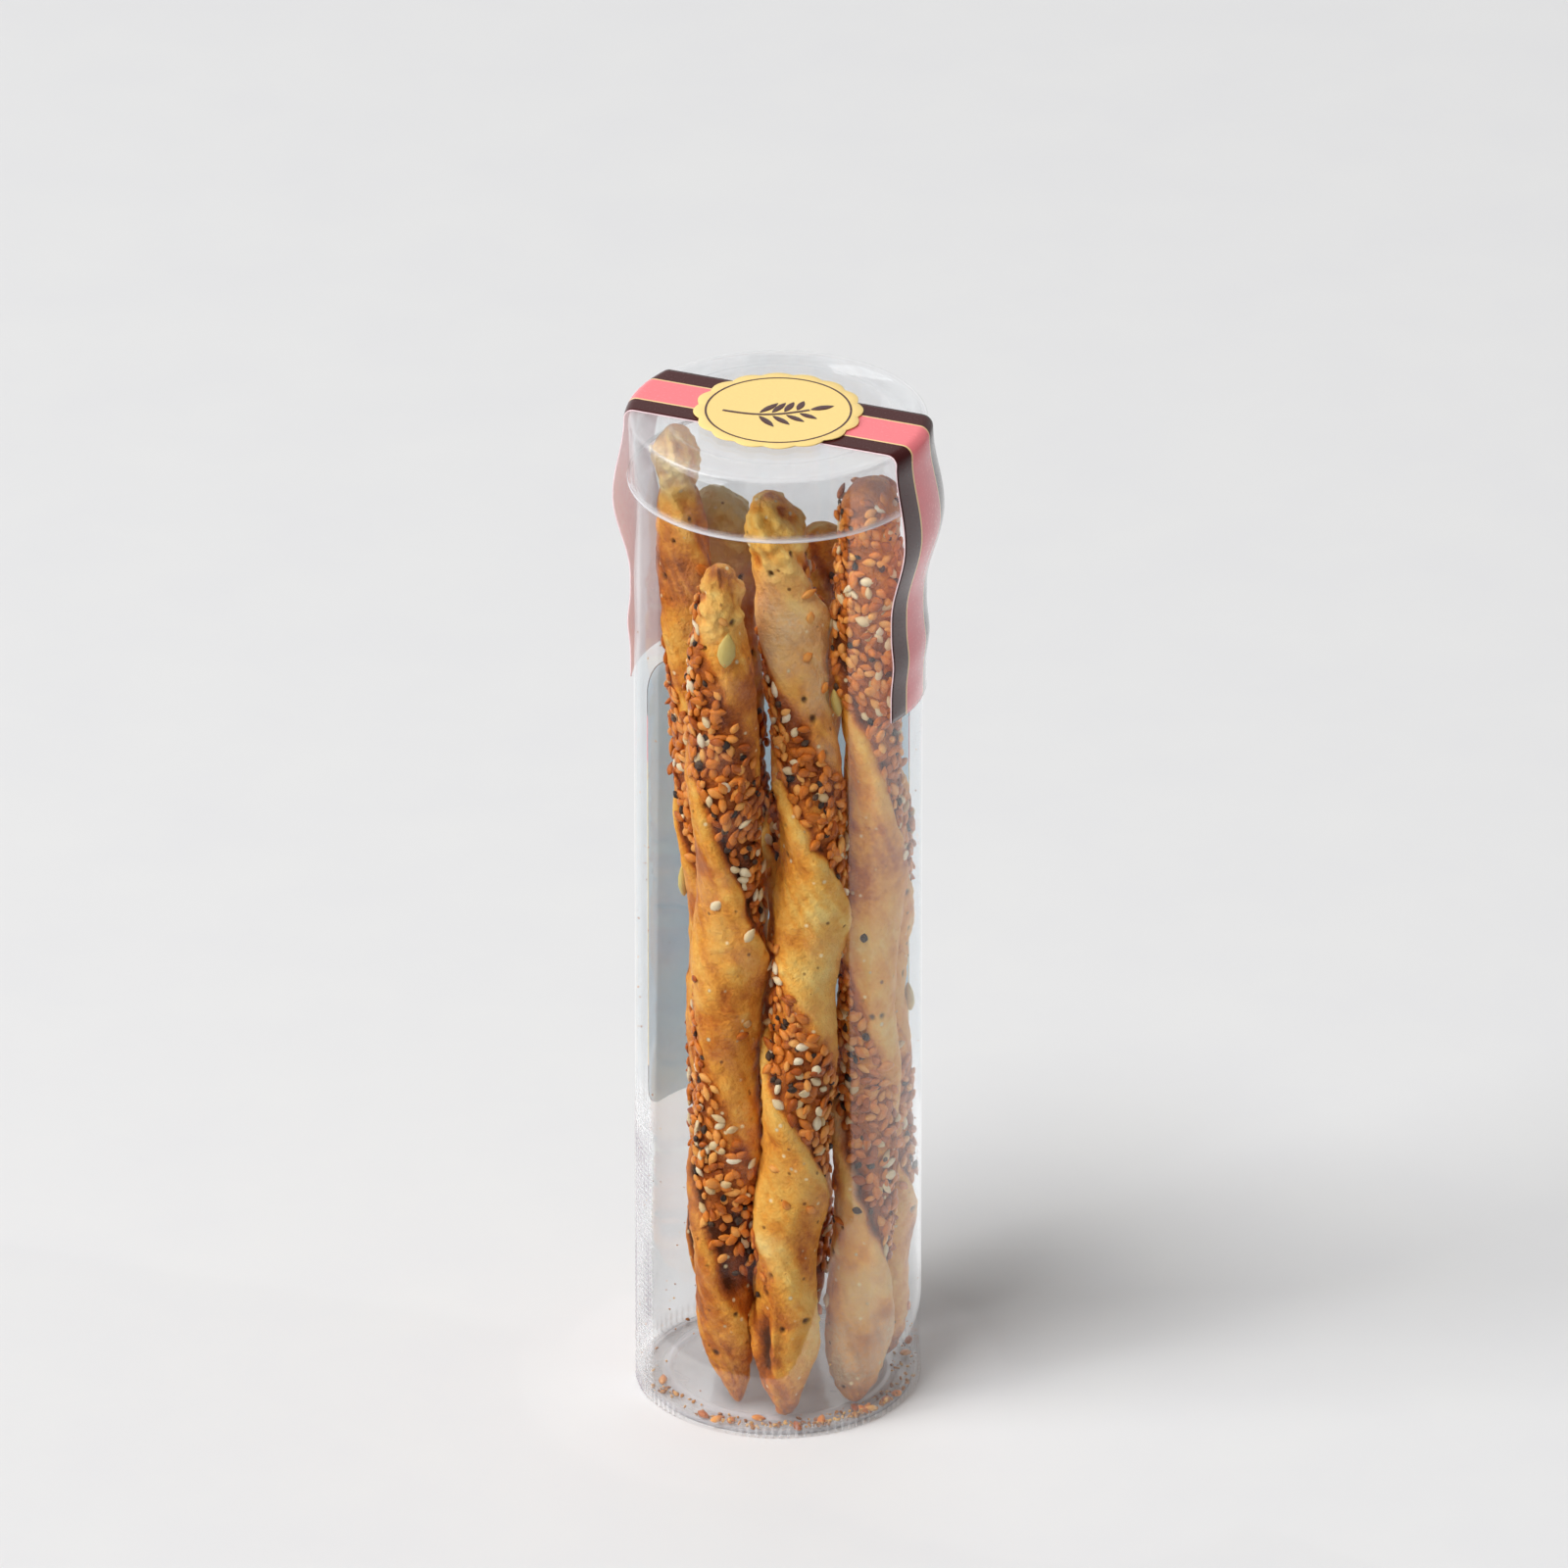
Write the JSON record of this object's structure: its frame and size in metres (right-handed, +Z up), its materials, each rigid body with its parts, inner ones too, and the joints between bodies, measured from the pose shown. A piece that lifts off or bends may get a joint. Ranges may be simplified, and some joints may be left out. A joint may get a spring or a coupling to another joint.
{
  "type": "tube of breadsticks",
  "caption": "Clear round tube with a clear cap and a striped paper seal, holding twisted breadsticks crusted with sesame seeds.",
  "frame": {"origin": "centre of the base's underside, on the tube's axis", "axes": "+Z up along the tube's axis, -Y towards the front, where the camera stands, +X to the right seen from the front"},
  "size_m": [0.0574, 0.0524, 0.1887],
  "materials": {
    "clear_plastic": "thin clear plastic, glossy",
    "strip_paper": "smooth printed paper in brown, pink and cream stripes",
    "disc_paper": "smooth printed paper, pale yellow",
    "label_paper": "paper label with a grey backing",
    "crust": "golden baked crust with toasted sesame seeds"
  },
  "bodies": {
    "root": {"tube_wall": "clear_plastic", "base_disc": "clear_plastic", "cap": "clear_plastic", "seal_strip": "strip_paper", "seal_disc": "disc_paper", "back_label": "label_paper", "stick_front_left": "crust", "stick_front_middle": "crust", "stick_front_right": "crust", "stick_right": "crust", "stick_left": "crust", "stick_back_left": "crust", "stick_back_right": "crust"}
  },
  "joints": []
}
